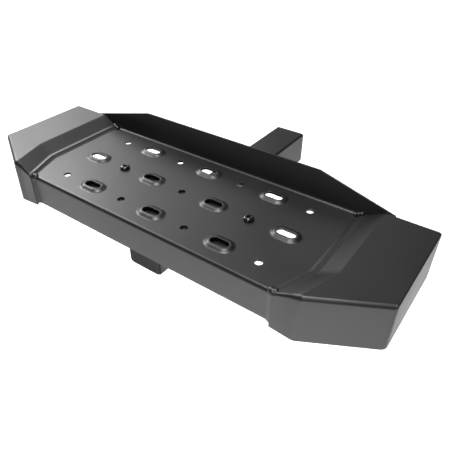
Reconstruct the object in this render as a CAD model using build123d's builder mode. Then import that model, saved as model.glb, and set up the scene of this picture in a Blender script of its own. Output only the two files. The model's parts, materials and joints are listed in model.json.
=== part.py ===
"""Hitch-mounted tailgate step.

A folded-steel step tray with two sheet end caps is bolted to a channel bracket, and the
bracket is welded to a square shank that slides into a 2 in receiver.

Frame: +X to the right, +Y towards the vehicle, +Z up. The origin is the centre of the
hitch-pin hole, on the shank's axis. Sheet parts are drawn from the deck's own datum, DECK:
the middle of the traction pattern, on the deck's top face.
"""

import math
import os

from build123d import *

# Shank: 2 in square structural tube with a hole for a 5/8 in pin
SHANK_SIZE = 50.8
SHANK_WALL = 4.8
SHANK_CORNER = 4.0
BORE_CORNER = 2.0
SHANK_LENGTH = 357.1
PIN_HOLE_RADIUS = 8.25
PIN_TO_END = 63.5
END_CHAMFER = 1.2

# Where the deck's datum stands from the pin hole
DECK_Y = -218.1
DECK_Z = 49.0

# Folded sheet
SHEET = 3.0
FRONT_BEND = 4.5
REAR_BEND = 4.0

# Step tray, from the deck's datum
FRONT_Y = -87.0
REAR_Y = 85.0
SKIRT_BOTTOM = -41.7
WALL_TOP = 36.5
WALL_LEAN_DEG = 12.4
WALL_FLAT_HALF = 142.6
WALL_END_HALF = 243.8
KINK_Y = -38.0
DECK_EDGE_X = 214.0
DECK_FRONT_EDGE_X = 195.0
RELIEF_X = 206.0
RELIEF_Y = 80.0
TAB_BOTTOM = 3.6

# Traction pattern
PITCH_X = 50.8
PITCH_Y = 57.15
SLOT_LENGTH = 24.0
SLOT_WIDTH = 11.0
RIM_RISE = 3.0
RIM_LAND = 1.4
RIM_FLARE = 5.6
DRAIN_RADIUS = 4.75

# End caps
CAP_TOP = 13.0
CAP_BOTTOM = -44.7
CAP_END_X = 296.5
LIP_EDGE_X = 207.0
LIP_KINK_Y = -39.0
LIP_FRONT_X = 188.0
SLOPE_BASE_X = 212.0
SLOPE_BASE_FRONT_X = 191.5
SLOPE_TOP_X = 233.0
SLOPE_TOP_KINK_Y = -36.0
CREST_FRONT_X = 217.5
HOLLOW_INNER_X = 150.0
HOLLOW_FRONT_X = 150.5
WALL_GAP = 0.4
WELD_LEG = 5.5
WELD_TOE_FRONT_X = 183.0
BEAD_OVERLAP = 1.0

# Cross bracket and gussets
BRACKET_HALF_LENGTH = 125.0
BRACKET_FRONT_Y = -62.0
BRACKET_REAR_Y = 50.0
BRACKET_PLATE = 4.0
BRACKET_BEND = 6.0
BRACKET_INNER_BEND = 2.0
LEG_CLIP = 10.0
GUSSET_REACH = 58.0
GUSSET_DROP = 38.0
GUSSET_CLIP = 7.0
GUSSET_GAP = 2.5
FILLET_LEG = 4.0
BEAD_SHORT_OF_END = 3.0
BEAD_SHORT_OF_TOP = 2.0

# M8 button-head bolts and what is on them
BOLT_X = 2 * PITCH_X
BOLT_RADIUS = 4.0
BOLT_LENGTH = 25.0
BOLT_TIP = 1.0
HEAD_RADIUS = 7.0
HEAD_HEIGHT = 4.4
HEAD_RIM_HEIGHT = 0.5
HEAD_TOP_RADIUS = 3.2
HEAD_MIDDLE = (5.8, 3.1)
SOCKET_FLATS = 5.0
SOCKET_DEPTH = 2.6
BOLT_HOLE_RADIUS = 4.5
WASHER_RADIUS = 8.0
WASHER_THICKNESS = 1.6
WASHER_CHAMFER = 0.3
LOCK_RADIUS = 7.4
LOCK_THICKNESS = 2.0
LOCK_GAP = 1.5
LOCK_CUT_DEG = 12.0
NUT_FLATS = 13.0
NUT_HEIGHT = 6.8
NUT_CHAMFER = 0.9
NUT_BORE_RADIUS = 4.05

# Front end plug of the shank
PLUG_FLANGE = 2.5
PLUG_CORNER = 6.0
PLUG_EDGE = 2.0
PLUG_DEPTH = 18.0
PLUG_FIN = 0.8
PLUG_FIN_DEPTHS = (5.4, 10.8, 16.2)
PLUG_FIN_GAP = 0.05
PLUG_BODY_GAP = 1.2
PLUG_FLOOR = 3.0
PLUG_WALL = 2.0
PLUG_HOLLOW_CORNER = 1.0

# Values worked out from the ones above; PAST is how far a cutting shape runs past the sheet
DECK = Plane(origin=(0, DECK_Y, DECK_Z))
SIDE = Plane(origin=(0, DECK_Y, DECK_Z), x_dir=(0, 1, 0), z_dir=(1, 0, 0))
FACE = Plane(origin=(0, DECK_Y, DECK_Z), x_dir=(1, 0, 0), z_dir=(0, -1, 0))
LEAN = math.tan(math.radians(WALL_LEAN_DEG))
LEAN_THICKNESS = SHEET / math.cos(math.radians(WALL_LEAN_DEG))
SHANK_TOP = SHANK_SIZE / 2 - DECK_Z
SHANK_REAR = PIN_TO_END
SHANK_FRONT = SHANK_REAR - SHANK_LENGTH
BRACKET_TOP = -SHEET
WEB_UNDER = BRACKET_TOP - BRACKET_PLATE
BORE_SIZE = SHANK_SIZE - 2 * SHANK_WALL
PAST = 5.0

os.makedirs("parts", exist_ok=True)


def save(piece, name):
    """Label a finished piece and write it under its own name."""
    piece.part.label = name
    export_step(piece.part, f"parts/{name}.step")


def wall_y(height):
    """Front face of the leaning back wall at a height above the deck."""
    return REAR_Y + height * LEAN


# Corners of an end cap's outer walls in plan: front inner, front crease, front outer, rear
# outer. The walls flare a little towards the bottom, so each corner has a top and a bottom.
CORNERS_TOP = [(189.4, -90.1), (219.5, -89.5), (CAP_END_X, -48.0), (CAP_END_X, 88.0)]
CORNERS_BOTTOM = [(189.4, -91.4), (217.0, -93.4), (CAP_END_X, -50.5), (CAP_END_X, 85.5)]


def corner_at(index, height):
    """One wall corner at a height above the deck."""
    share = (height - CAP_BOTTOM) / (CAP_TOP - CAP_BOTTOM)
    low = Vector(*CORNERS_BOTTOM[index])
    high = Vector(*CORNERS_TOP[index])
    return low + (high - low) * share


def front_wall_y(x, height):
    """Outer face of a cap's front wall, beside the skirt, at a given x and height."""
    inner = corner_at(0, height)
    crease = corner_at(1, height)
    return inner.Y + (crease.Y - inner.Y) * (x - inner.X) / (crease.X - inner.X)


def moved_in(before, corner, after, distance):
    """The corner of two plan walls once both have moved inwards by a sheet's thickness."""
    first = (corner - before).normalized()
    second = (after - corner).normalized()
    turn = first.X * second.Y - first.Y * second.X
    return corner + (second - first) * (distance / turn)


def cap_outline(height, inner_line, thickness=0.0):
    """Plan outline of an end cap at a height, closed by the given inner line."""
    walls = [corner_at(index, height) for index in range(4)]
    rear_end = Vector(inner_line[0][0], walls[3].Y)
    if thickness:
        first = Vector(inner_line[-1][0], front_wall_y(inner_line[-1][0], height) + thickness)
        crease = moved_in(walls[0], walls[1], walls[2], thickness)
        outer = moved_in(walls[1], walls[2], walls[3], thickness)
        rear = moved_in(walls[2], walls[3], rear_end, thickness)
        inner_rear = (inner_line[0][0], rear.Y)
    else:
        first = Vector(inner_line[-1][0], front_wall_y(inner_line[-1][0], height))
        crease, outer, rear = walls[1], walls[2], walls[3]
        inner_rear = (inner_line[0][0], rear.Y)
    points = [inner_rear]
    points += inner_line[1:-1]
    points += [(point.X, point.Y) for point in (first, crease, outer, rear)]
    return points


# Step tray: skirt, deck and leaning back wall folded from one sheet
with BuildPart() as deck_tray:
    with BuildSketch(SIDE.offset(-WALL_END_HALF)) as fold:
        with BuildLine():
            Polyline(
                (FRONT_Y, SKIRT_BOTTOM),
                (FRONT_Y, 0),
                (REAR_Y, 0),
                (wall_y(WALL_TOP), WALL_TOP),
                (wall_y(WALL_TOP) + LEAN_THICKNESS, WALL_TOP),
                (wall_y(-SHEET) + LEAN_THICKNESS, -SHEET),
                (FRONT_Y + SHEET, -SHEET),
                (FRONT_Y + SHEET, SKIRT_BOTTOM),
                close=True,
            )
        make_face()
        fillet(fold.vertices().sort_by_distance((FRONT_Y, 0))[0], FRONT_BEND)
        fillet(fold.vertices().sort_by_distance((FRONT_Y + SHEET, -SHEET))[0], FRONT_BEND - SHEET)
        fillet(fold.vertices().sort_by_distance((REAR_Y, 0))[0], REAR_BEND)
        outer_corner = (wall_y(-SHEET) + LEAN_THICKNESS, -SHEET)
        fillet(fold.vertices().sort_by_distance(outer_corner)[0], REAR_BEND + SHEET)
    extrude(amount=2 * WALL_END_HALF)

    # The wall's top edge falls away to the end caps on each side
    with BuildSketch(FACE):
        for side in (-1, 1):
            Polygon(
                (side * WALL_FLAT_HALF, WALL_TOP),
                (side * WALL_END_HALF, CAP_TOP),
                (side * (WALL_END_HALF + PAST), CAP_TOP),
                (side * (WALL_END_HALF + PAST), WALL_TOP + PAST),
                (side * WALL_FLAT_HALF, WALL_TOP + PAST),
                align=None,
            )
    extrude(amount=2 * REAR_Y, both=True, mode=Mode.SUBTRACT)

    # Deck and skirt end under the caps, and the wall's ends pass behind them
    with BuildSketch(DECK.offset(CAP_BOTTOM)):
        for side in (-1, 1):
            Polygon(
                (side * RELIEF_X, REAR_Y + WALL_TOP),
                (side * RELIEF_X, RELIEF_Y),
                (side * DECK_EDGE_X, RELIEF_Y),
                (side * DECK_EDGE_X, KINK_Y),
                (side * DECK_FRONT_EDGE_X, FRONT_Y),
                (side * DECK_FRONT_EDGE_X, FRONT_Y - PAST),
                (side * (WALL_END_HALF + PAST), FRONT_Y - PAST),
                (side * (WALL_END_HALF + PAST), REAR_Y + WALL_TOP),
                align=None,
            )
    extrude(amount=TAB_BOTTOM - CAP_BOTTOM, mode=Mode.SUBTRACT)

    # Traction slots: each rim is a short cone pressed up from the sheet
    slot_places = [(k * PITCH_X, row * PITCH_Y) for row in (-1, 1) for k in (-2, 0, 2)]
    slot_places += [(k * PITCH_X, 0) for k in (-3, -1, 1, 3)]
    rim_top_length = SLOT_LENGTH + 2 * RIM_LAND
    rim_top_width = SLOT_WIDTH + 2 * RIM_LAND
    for place in slot_places:
        for base, mode in ((0, Mode.ADD), (-SHEET, Mode.SUBTRACT)):
            with BuildSketch(DECK.offset(base)):
                with Locations(place):
                    SlotOverall(rim_top_length + 2 * RIM_FLARE, rim_top_width + 2 * RIM_FLARE)
            with BuildSketch(DECK.offset(base + RIM_RISE)):
                with Locations(place):
                    SlotOverall(rim_top_length, rim_top_width)
            loft(mode=mode)
        with BuildSketch(DECK.offset(-SHEET)):
            with Locations(place):
                SlotOverall(SLOT_LENGTH, SLOT_WIDTH)
        extrude(amount=2 * SHEET + RIM_RISE, mode=Mode.SUBTRACT)

    # Drain holes, and clearance holes for the deck bolts
    drain_places = [(k * PITCH_X, row * PITCH_Y) for row in (-1, 1) for k in (-3, -1, 1, 3)]
    drain_places += [(0, 0)]
    with BuildSketch(DECK.offset(-2 * SHEET)):
        with Locations(*drain_places):
            Circle(DRAIN_RADIUS)
        with Locations((-BOLT_X, 0), (BOLT_X, 0)):
            Circle(BOLT_HOLE_RADIUS)
    extrude(amount=4 * SHEET, mode=Mode.SUBTRACT)
save(deck_tray, "deck_tray")


# End caps: a lip on the deck, a sloping side, a flat top and four walls, open underneath
LIP_LINE = [(LIP_EDGE_X, 0), (LIP_EDGE_X, LIP_KINK_Y), (LIP_FRONT_X, 0)]
BASE_LINE = [(SLOPE_BASE_X, 0), (SLOPE_BASE_X, LIP_KINK_Y), (SLOPE_BASE_FRONT_X, 0)]
CREST_LINE = [(SLOPE_TOP_X, 0), (SLOPE_TOP_X, SLOPE_TOP_KINK_Y), (CREST_FRONT_X, 0)]
OPEN_LINE = [(HOLLOW_INNER_X, 0), (HOLLOW_INNER_X, KINK_Y), (HOLLOW_FRONT_X, 0)]

with BuildPart() as right_end_cap:
    for low, low_line, high, high_line in (
        (CAP_BOTTOM, LIP_LINE, SHEET, LIP_LINE),
        (SHEET, BASE_LINE, CAP_TOP, CREST_LINE),
    ):
        with BuildSketch(DECK.offset(low)):
            Polygon(*cap_outline(low, low_line), align=None)
        with BuildSketch(DECK.offset(high)):
            Polygon(*cap_outline(high, high_line), align=None)
        loft(ruled=True)
    for low, low_line, high, high_line in (
        (CAP_BOTTOM - PAST, OPEN_LINE, 0, OPEN_LINE),
        (0, BASE_LINE, CAP_TOP - SHEET, CREST_LINE),
    ):
        with BuildSketch(DECK.offset(low)):
            Polygon(*cap_outline(low, low_line, SHEET), align=None)
        with BuildSketch(DECK.offset(high)):
            Polygon(*cap_outline(high, high_line, SHEET), align=None)
        loft(ruled=True, mode=Mode.SUBTRACT)
    # Room for the end of the tray's back wall, which the cap is fitted against
    notch_bottom = SHEET + WALL_GAP
    with BuildSketch(SIDE.offset(RELIEF_X - PAST)):
        Polygon(
            (wall_y(notch_bottom), notch_bottom),
            (wall_y(CAP_TOP + PAST), CAP_TOP + PAST),
            (REAR_Y + WALL_TOP, CAP_TOP + PAST),
            (REAR_Y + WALL_TOP, notch_bottom),
            align=None,
        )
    extrude(amount=WALL_END_HALF + WALL_GAP - RELIEF_X + PAST, mode=Mode.SUBTRACT)
save(right_end_cap, "right_end_cap")

with BuildPart() as left_end_cap:
    mirror(right_end_cap.part, about=Plane.YZ)
save(left_end_cap, "left_end_cap")


# Weld beads that close the caps' lips down onto the deck and onto the skirt
with BuildPart() as right_cap_weld:
    # Along the deck: from the toe at deck level up to the lip's top edge
    for height, rear_x, kink_y, front_x in (
        (0, LIP_EDGE_X - WELD_LEG, KINK_Y, WELD_TOE_FRONT_X),
        (SHEET, LIP_EDGE_X, LIP_KINK_Y, LIP_FRONT_X),
    ):
        with BuildSketch(DECK.offset(height)):
            Polygon(
                (rear_x, REAR_Y),
                (rear_x, kink_y),
                (front_x, FRONT_Y),
                (LIP_FRONT_X, front_wall_y(LIP_FRONT_X, height)),
                (LIP_FRONT_X + BEAD_OVERLAP, FRONT_Y),
                (LIP_EDGE_X + BEAD_OVERLAP, LIP_KINK_Y),
                (LIP_EDGE_X + BEAD_OVERLAP, REAR_Y),
                align=None,
            )
    loft(ruled=True)
    # Round the front corner and down the skirt, beside the cap's front wall
    with BuildSketch(DECK):
        Polygon(
            (WELD_TOE_FRONT_X, FRONT_Y),
            (LIP_FRONT_X, front_wall_y(LIP_FRONT_X, 0)),
            (LIP_FRONT_X, FRONT_Y + SHEET),
            (WELD_TOE_FRONT_X + BEAD_OVERLAP, FRONT_Y + SHEET),
            align=None,
        )
    extrude(amount=-FRONT_BEND)
    with BuildSketch(DECK):
        Polygon(
            (WELD_TOE_FRONT_X, FRONT_Y),
            (LIP_FRONT_X, front_wall_y(LIP_FRONT_X, 0)),
            (LIP_FRONT_X, FRONT_Y),
            align=None,
        )
    extrude(amount=SKIRT_BOTTOM)
    add(deck_tray.part, mode=Mode.SUBTRACT)
    add(right_end_cap.part, mode=Mode.SUBTRACT)
save(right_cap_weld, "right_cap_weld")

with BuildPart() as left_cap_weld:
    mirror(right_cap_weld.part, about=Plane.YZ)
save(left_cap_weld, "left_cap_weld")


# Shank: square tube, open at the vehicle end, with the pin hole through both sides
END = Plane(origin=(0, SHANK_FRONT, 0), x_dir=(1, 0, 0), z_dir=(0, -1, 0))

with BuildPart() as hitch_tube:
    with BuildSketch(END):
        RectangleRounded(SHANK_SIZE, SHANK_SIZE, SHANK_CORNER)
        RectangleRounded(BORE_SIZE, BORE_SIZE, BORE_CORNER, mode=Mode.SUBTRACT)
    extrude(amount=-SHANK_LENGTH)
    rear_rim = hitch_tube.faces().sort_by(Axis.Y)[-1].outer_wire().edges()
    chamfer(rear_rim, END_CHAMFER)
    with BuildSketch(Plane.YZ.offset(-SHANK_SIZE)):
        Circle(PIN_HOLE_RADIUS)
    extrude(amount=2 * SHANK_SIZE, mode=Mode.SUBTRACT)
save(hitch_tube, "hitch_tube")


# Plug in the shank's front end: a flange outside, a finned hollow body inside
with BuildPart() as tube_front_plug:
    with BuildSketch(END):
        RectangleRounded(SHANK_SIZE, SHANK_SIZE, PLUG_CORNER)
    extrude(amount=PLUG_FLANGE)
    fillet(tube_front_plug.faces().sort_by(Axis.Y)[0].edges(), PLUG_EDGE)
    body_size = BORE_SIZE - 2 * PLUG_BODY_GAP
    with BuildSketch(END):
        RectangleRounded(body_size, body_size, BORE_CORNER)
    extrude(amount=-PLUG_DEPTH)
    fin_size = BORE_SIZE - 2 * PLUG_FIN_GAP
    for depth in PLUG_FIN_DEPTHS:
        with BuildSketch(END.offset(-depth)):
            RectangleRounded(fin_size, fin_size, BORE_CORNER)
        extrude(amount=PLUG_FIN)
    with BuildSketch(END.offset(-PLUG_FLOOR)):
        hollow = body_size - 2 * PLUG_WALL
        RectangleRounded(hollow, hollow, PLUG_HOLLOW_CORNER)
    extrude(amount=-PLUG_DEPTH, mode=Mode.SUBTRACT)
save(tube_front_plug, "tube_front_plug")


# Cross bracket: a channel, legs down, between the deck and the shank
LEG_FRONT_INNER_Y = BRACKET_FRONT_Y + BRACKET_PLATE
LEG_REAR_INNER_Y = BRACKET_REAR_Y - BRACKET_PLATE

with BuildPart() as cross_bracket:
    with BuildSketch(SIDE.offset(-BRACKET_HALF_LENGTH)) as channel:
        with BuildLine():
            Polyline(
                (BRACKET_FRONT_Y, SHANK_TOP),
                (BRACKET_FRONT_Y, BRACKET_TOP),
                (BRACKET_REAR_Y, BRACKET_TOP),
                (BRACKET_REAR_Y, SHANK_TOP),
                (LEG_REAR_INNER_Y, SHANK_TOP),
                (LEG_REAR_INNER_Y, WEB_UNDER),
                (LEG_FRONT_INNER_Y, WEB_UNDER),
                (LEG_FRONT_INNER_Y, SHANK_TOP),
                close=True,
            )
        make_face()
        fillet(channel.vertices().group_by(Axis.Y)[-1], BRACKET_BEND)
        for inner_y in (LEG_FRONT_INNER_Y, LEG_REAR_INNER_Y):
            inner_corner = channel.vertices().sort_by_distance((inner_y, WEB_UNDER))[0]
            fillet(inner_corner, BRACKET_INNER_BEND)
    extrude(amount=2 * BRACKET_HALF_LENGTH)
    # Clipped leg ends and the two bolt holes
    with BuildSketch(FACE):
        for side in (-1, 1):
            Polygon(
                (side * BRACKET_HALF_LENGTH, SHANK_TOP),
                (side * BRACKET_HALF_LENGTH, SHANK_TOP + LEG_CLIP),
                (side * (BRACKET_HALF_LENGTH - LEG_CLIP), SHANK_TOP),
                align=None,
            )
    extrude(amount=REAR_Y, both=True, mode=Mode.SUBTRACT)
    with BuildSketch(DECK.offset(BRACKET_TOP + PAST)):
        with Locations((-BOLT_X, 0), (BOLT_X, 0)):
            Circle(BOLT_HOLE_RADIUS)
    extrude(amount=-(BRACKET_PLATE + 2 * PAST), mode=Mode.SUBTRACT)
save(cross_bracket, "cross_bracket")


# Gussets lap inside the channel's legs and run down the shank's sides
GUSSET_TOP = WEB_UNDER - GUSSET_GAP
GUSSET_FOOT = SHANK_TOP - GUSSET_DROP
BEAD_FLAT_HALF = SHANK_SIZE / 2 - SHANK_CORNER
for end, toward, leg_y in (("front", -1, BRACKET_FRONT_Y), ("rear", 1, BRACKET_REAR_Y)):
    plate_y = leg_y - toward * BRACKET_PLATE
    for hand, side in (("left", -1), ("right", 1)):
        inner_x = side * SHANK_SIZE / 2
        outer_x = side * (SHANK_SIZE / 2 + GUSSET_REACH)
        with BuildPart() as gusset:
            with BuildSketch(FACE.offset(-(plate_y - toward * BRACKET_PLATE / 2))):
                Polygon(
                    (inner_x, GUSSET_TOP),
                    (outer_x, GUSSET_TOP),
                    (outer_x, SHANK_TOP - GUSSET_CLIP / 2),
                    (inner_x + side * GUSSET_CLIP, GUSSET_FOOT),
                    (inner_x, GUSSET_FOOT),
                    align=None,
                )
            extrude(amount=BRACKET_PLATE / 2, both=True)
        save(gusset, f"gusset_{end}_{hand}")

        with BuildPart() as bead:
            with BuildSketch(DECK.offset(GUSSET_FOOT + BEAD_SHORT_OF_END)):
                Polygon(
                    (inner_x, plate_y),
                    (inner_x + side * FILLET_LEG, plate_y),
                    (inner_x, plate_y + toward * FILLET_LEG),
                    align=None,
                )
            extrude(amount=GUSSET_DROP - BEAD_SHORT_OF_END - BEAD_SHORT_OF_TOP)
        save(bead, f"gusset_weld_{end}_{hand}")

    # Bead between the channel's leg and the shank's top face
    with BuildPart() as leg_bead:
        with BuildSketch(SIDE.offset(-BEAD_FLAT_HALF)):
            Polygon(
                (leg_y, SHANK_TOP),
                (leg_y + toward * FILLET_LEG, SHANK_TOP),
                (leg_y, SHANK_TOP + FILLET_LEG),
                align=None,
            )
        extrude(amount=2 * BEAD_FLAT_HALF)
    save(leg_bead, f"bracket_weld_{end}")


# Deck bolts with a washer, a split lock washer and a nut under the bracket
HEAD_TOP = DECK_Z + HEAD_HEIGHT
TIP = DECK_Z - BOLT_LENGTH
WASHER_TOP = DECK_Z + WEB_UNDER
LOCK_TOP = WASHER_TOP - WASHER_THICKNESS
NUT_TOP = LOCK_TOP - LOCK_THICKNESS
NUT_BOTTOM = NUT_TOP - NUT_HEIGHT
NUT_CORNER = NUT_FLATS / 2 / math.cos(math.radians(30))

for hand, side in (("left", -1), ("right", 1)):
    x = side * BOLT_X
    axis = Axis((x, DECK_Y, 0), (0, 0, 1))
    section = Plane(origin=(x, DECK_Y, 0), x_dir=(1, 0, 0), z_dir=(0, -1, 0))
    with BuildPart() as bolt:
        with BuildSketch(section):
            with BuildLine():
                Line((0, HEAD_TOP), (HEAD_TOP_RADIUS, HEAD_TOP))
                ThreePointArc(
                    (HEAD_TOP_RADIUS, HEAD_TOP),
                    (HEAD_MIDDLE[0], DECK_Z + HEAD_MIDDLE[1]),
                    (HEAD_RADIUS, DECK_Z + HEAD_RIM_HEIGHT),
                )
                Polyline(
                    (HEAD_RADIUS, DECK_Z + HEAD_RIM_HEIGHT),
                    (HEAD_RADIUS, DECK_Z),
                    (BOLT_RADIUS, DECK_Z),
                    (BOLT_RADIUS, TIP + BOLT_TIP),
                    (BOLT_RADIUS - BOLT_TIP, TIP),
                    (0, TIP),
                    (0, HEAD_TOP),
                )
            make_face()
        revolve(axis=axis)
        with BuildSketch(Plane((x, DECK_Y, HEAD_TOP))):
            RegularPolygon(SOCKET_FLATS / 2, 6, major_radius=False)
        extrude(amount=-SOCKET_DEPTH, mode=Mode.SUBTRACT)
    save(bolt, f"deck_bolt_{hand}")

    with BuildPart() as washer:
        with BuildSketch(Plane((x, DECK_Y, WASHER_TOP))):
            Circle(WASHER_RADIUS)
            Circle(BOLT_HOLE_RADIUS, mode=Mode.SUBTRACT)
        extrude(amount=-WASHER_THICKNESS)
        chamfer(washer.edges().group_by(SortBy.LENGTH)[-1], WASHER_CHAMFER)
    save(washer, f"flat_washer_{hand}")

    with BuildPart() as lock_washer:
        with BuildSketch(Plane((x, DECK_Y, LOCK_TOP))):
            Circle(LOCK_RADIUS)
            Circle(BOLT_HOLE_RADIUS, mode=Mode.SUBTRACT)
            with Locations((side * LOCK_RADIUS, 0)):
                Rectangle(LOCK_RADIUS, LOCK_GAP, rotation=LOCK_CUT_DEG, mode=Mode.SUBTRACT)
        extrude(amount=-LOCK_THICKNESS)
    save(lock_washer, f"lock_washer_{hand}")

    with BuildPart() as nut:
        with BuildSketch(Plane((x, DECK_Y, NUT_TOP))):
            RegularPolygon(NUT_FLATS / 2, 6, major_radius=False)
        extrude(amount=-NUT_HEIGHT)
        with BuildSketch(section):
            Polygon(
                (NUT_BORE_RADIUS, NUT_TOP),
                (NUT_FLATS / 2, NUT_TOP),
                (NUT_CORNER, NUT_TOP - NUT_CHAMFER),
                (NUT_CORNER, NUT_BOTTOM + NUT_CHAMFER),
                (NUT_FLATS / 2, NUT_BOTTOM),
                (NUT_BORE_RADIUS, NUT_BOTTOM),
                align=None,
            )
        revolve(axis=axis, mode=Mode.INTERSECT)
    save(nut, f"hex_nut_{hand}")
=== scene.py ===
"""A hitch-mounted tailgate step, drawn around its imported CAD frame.

The tray and end caps are built here as folded sheet with real bends and rolled edges, the
weld beads, bolts and plug as closed solids; the shank, plates, washers and nuts are copies of
the CAD nodes with their edges rounded.
Sizes are in millimetres from the deck's datum (the middle of the traction pattern, on the
deck's top face) and are turned into metres in the row's frame by place().
"""

import json
import math

import bmesh
import bpy
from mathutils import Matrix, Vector
from mathutils.geometry import delaunay_2d_cdt


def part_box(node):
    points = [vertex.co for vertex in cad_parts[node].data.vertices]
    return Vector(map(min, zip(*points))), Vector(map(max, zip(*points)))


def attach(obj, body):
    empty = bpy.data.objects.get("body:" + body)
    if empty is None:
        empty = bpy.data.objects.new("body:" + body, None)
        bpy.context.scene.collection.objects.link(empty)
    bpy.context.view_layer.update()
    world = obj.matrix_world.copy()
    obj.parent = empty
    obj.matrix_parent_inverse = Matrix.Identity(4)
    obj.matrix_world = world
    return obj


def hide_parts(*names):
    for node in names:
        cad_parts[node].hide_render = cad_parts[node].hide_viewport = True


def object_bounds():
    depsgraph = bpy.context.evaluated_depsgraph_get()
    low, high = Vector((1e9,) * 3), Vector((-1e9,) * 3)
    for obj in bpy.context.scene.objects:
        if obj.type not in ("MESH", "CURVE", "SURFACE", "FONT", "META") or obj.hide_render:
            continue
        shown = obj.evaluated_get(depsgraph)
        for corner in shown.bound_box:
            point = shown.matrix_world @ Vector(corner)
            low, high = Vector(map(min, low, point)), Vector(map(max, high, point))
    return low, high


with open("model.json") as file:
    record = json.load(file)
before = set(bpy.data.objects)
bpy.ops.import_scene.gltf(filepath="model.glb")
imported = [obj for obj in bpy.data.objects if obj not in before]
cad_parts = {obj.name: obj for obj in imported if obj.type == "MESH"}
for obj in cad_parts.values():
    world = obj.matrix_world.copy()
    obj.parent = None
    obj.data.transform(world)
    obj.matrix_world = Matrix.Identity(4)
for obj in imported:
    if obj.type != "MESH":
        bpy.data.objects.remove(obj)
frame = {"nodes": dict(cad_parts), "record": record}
cad_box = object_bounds()

# --- Dimensions, in millimetres ---------------------------------------------------------
MM = 0.001
MERGE = 0.02

# Tray
SHEET = 3.0
FRONT_Y = -87.0
REAR_Y = 85.0
SKIRT_BOTTOM = -41.7
FRONT_BEND = 4.5
REAR_BEND = 4.0
BEND_STEPS = 8
WALL_TOP = 36.5
WALL_LEAN = math.radians(12.4)
WALL_FLAT_HALF = 142.6
WALL_END_HALF = 243.8
WALL_END_DROP = 0.4
WALL_GAP = 0.15
TAB_BOTTOM = 3.6
DECK_EDGE_X = 214.0
DECK_FRONT_EDGE_X = 195.0
RELIEF_X = 206.0
RELIEF_Y = 80.0
KINK_Y = -38.0

# Traction slots, their raised rims, and the plain holes between them
PITCH_X = 50.8
PITCH_Y = 57.15
SLOT_LENGTH = 24.0
SLOT_WIDTH = 11.0
RIM_RISE = 3.0
RIM_LAND = 0.9
RIM_LAND_MIDDLE = 0.5
RIM_REACH = 8.2
RIM_STEPS = 9
SLOT_LIP = 1.1
SLOT_LIP_ZONE = 0.6
WALL_ZONE = 10.0
CUT_EDGE = 0.45
DRAIN_RADIUS = 4.75
BOLT_HOLE_RADIUS = 4.5

# End caps: a thin lip on the deck, a slope up to the top face, and walls with rounded
# corners. Points run from the back to the front, corners from the front to the back
CAP_TOP = 13.0
CAP_BOTTOM = -44.7
LIP_EDGE = [(207.0, 83.0), (207.0, -39.0), (188.0, -90.0)]
SLOPE_BASE = [(212.0, 85.0), (212.0, -39.0), (191.5, -90.0)]
SLOPE_CREST = [(233.0, 87.0), (233.0, -36.0), (217.3, -90.0)]
CAP_CORNERS_TOP = [(189.4, -90.1), (219.5, -89.5), (296.5, -48.0), (296.5, 88.0), (209.0, 88.0)]
CAP_CORNERS_BOTTOM = [(189.4, -91.4), (217.0, -93.4), (296.5, -50.5), (296.5, 85.5), (209.0, 85.5)]
CORNER_RADII_TOP = [2.0, 4.0, 4.0]
CORNER_RADII_BOTTOM = [12.0, 9.0, 8.0]
LEAST_CORNER_RADIUS = 0.4
BEND_AT_LIP = 2.5
CORNER_BENDS = [(5.2, 4.6), (4.6, 1.5), (1.5, 1.5)]
SOFT_BASE = 0.035
SOFT_CREST = 0.06
CREST_FRONT_TIGHTNESS = 0.3
SLOPE_SHARES = [0.2, 0.4, 0.52, 0.6, 0.7, 0.8]
KINK_SOFTNESS = (4.0, 5.0, 6.0)
KINK_STEPS = 6
LIP_WALL_TOP = 3.2
WALL_BELOW_BEND = 0.5
WALL_MIDDLE = -20.0
CAP_NOTCH_X = 244.5
CAP_REAR_INNER_X = 209.0
FILLET_STEPS = 6
CORNER_STEPS = 7

# The cap's front wall is drawn in a little: how far, and where the crease stands, from the
# lip's edge to the corner, at the bottom and at the top
DRAWN_IN = 1.1
DRAWN_FOLDS = (0.85, 0.62)

# Cap welds: spots and crater are placed from the corners of the lip's edge
SECTION_STEPS = 6
WELD_LEG = 5.5
WELD_HOLLOW = 0.14
WELD_REAR_GAP = 0.4
WELD_FRONT_GAP = 4.0
SKIRT_WELD_REACH = 6.6
SKIRT_WELD_OVERLAP = 1.0
SKIRT_WELD_HOLLOW = 0.12
SKIRT_WELD_HEIGHTS = (-3.0, -12.0, -22.0, -32.0, SKIRT_BOTTOM)
FRONT_SPOTS = [
    ((-2.5, 3.0, -0.4), (5.6, 4.2, 3.2)),
    ((2.2, 2.0, 1.0), (3.6, 4.2, 3.2)),
    ((-1.8, 0.4, -3.2), (4.6, 2.6, 4.4)),
]
CRATER = (1.4, -0.9, 1.5)
CRATER_RADIUS = 1.4
CRATER_PROFILE = [(0, -1.6), (0.6, -1.5), (0.85, -0.6), (1.0, 0.1), (1.25, 0.35), (1.6, 0.25)]
CRATER_PROFILE += [(2.1, -0.4), (2.3, -1.4), (0, -2.0)]
REAR_SPOTS = 3
REAR_SPOT_START = (-7.0, -3.4, 1.0)
REAR_SPOT_STEP = (3.6, 0.9, 1.2)
REAR_SPOT_RADII = (2.8, 3.4, 3.0)

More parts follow.
